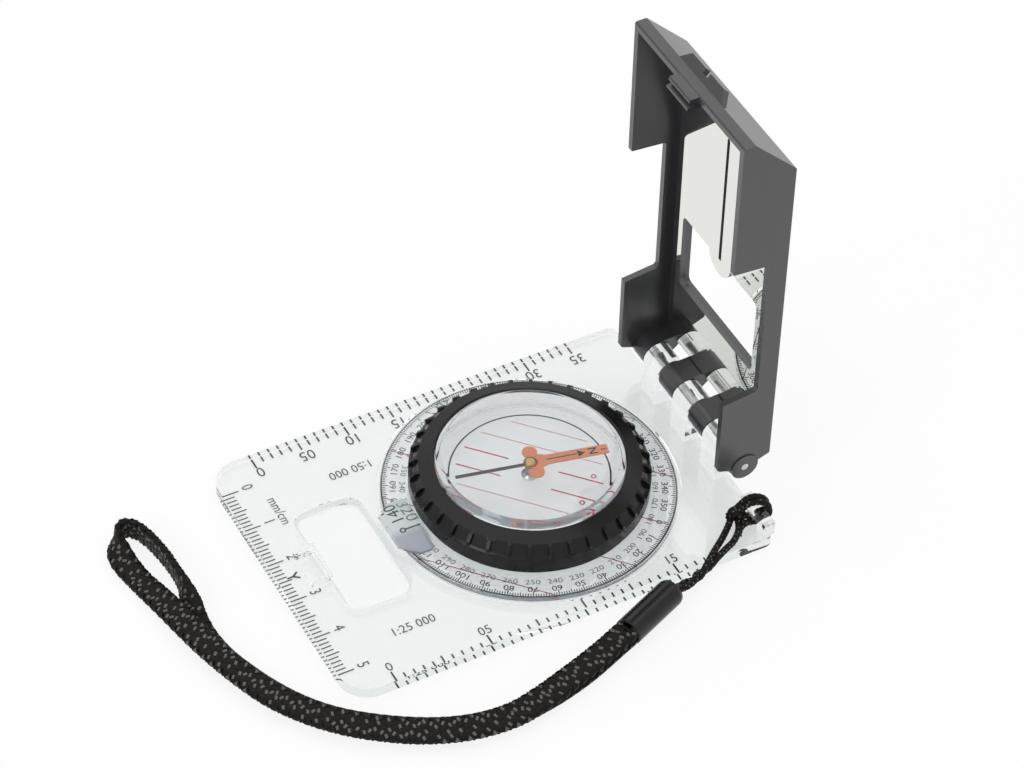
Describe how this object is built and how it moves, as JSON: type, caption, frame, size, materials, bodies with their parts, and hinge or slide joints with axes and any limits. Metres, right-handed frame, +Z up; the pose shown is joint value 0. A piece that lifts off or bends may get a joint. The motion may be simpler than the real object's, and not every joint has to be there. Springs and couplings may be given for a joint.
{
  "type": "sighting compass with mirror cover",
  "caption": "Clear base plate compass with a turning dial, floating needle, folding mirror cover, map lens and a braided wrist strap.",
  "frame": {"origin": "centre of the footprint of the open compass, without its strap, on the surface it lies on", "axes": "+Z up out of the dial, +Y along the plate towards the cover's hinge, +X towards the side with the strap's post"},
  "size_m": [0.0827, 0.1213, 0.0956],
  "materials": {
    "clear_plastic": "polished clear acrylic",
    "lens_plastic": "polished clear acrylic lens",
    "ring_black": "moulded, fine satin",
    "cover_grey": "moulded, satin",
    "mirror_glass": "silvered",
    "pin_steel": "drawn",
    "needle_steel": "dark",
    "needle_paint": "orange paint",
    "hub_brass": "polished",
    "jewel_red": "polished",
    "cord_black": "braided polyester",
    "ferrule_black": "moulded, glossy"
  },
  "bodies": {
    "base": {"baseplate": "clear_plastic", "map_lens": "lens_plastic", "bearing_magnifier": "lens_plastic", "tie_hitch": "cord_black", "tie_knot": "cord_black", "tie_strand_left": "cord_black", "tie_strand_right": "cord_black", "strap_ferrule": "ferrule_black", "strap_tape": "cord_black"},
    "dial": {"dial_disc": "clear_plastic", "capsule_wall": "clear_plastic", "capsule_window": "clear_plastic", "grip_ring": "ring_black", "needle_pivot": "pin_steel"},
    "needle": {"needle_hub": "hub_brass", "needle_jewel": "jewel_red", "needle_magnet": "needle_steel", "needle_pointer": "needle_paint"},
    "cover": {"cover_shell": "cover_grey", "mirror": "mirror_glass", "hinge_pin": "pin_steel"}
  },
  "joints": [
    {"name": "cover_hinge", "type": "hinge", "parent": "base", "child": "cover", "pos_m": [0, 0.0421, 0.0101], "axis": [1, 0, 0], "range_deg": [-91, 89]},
    {"name": "dial_turn", "type": "hinge", "parent": "base", "child": "dial", "pos_m": [0, 0.006, 0.0033], "axis": [0, 0, 1], "continuous": true},
    {"name": "needle_swing", "type": "hinge", "parent": "dial", "child": "needle", "pos_m": [0, 0.006, 0.0073], "axis": [0, 0, 1], "continuous": true}
  ]
}
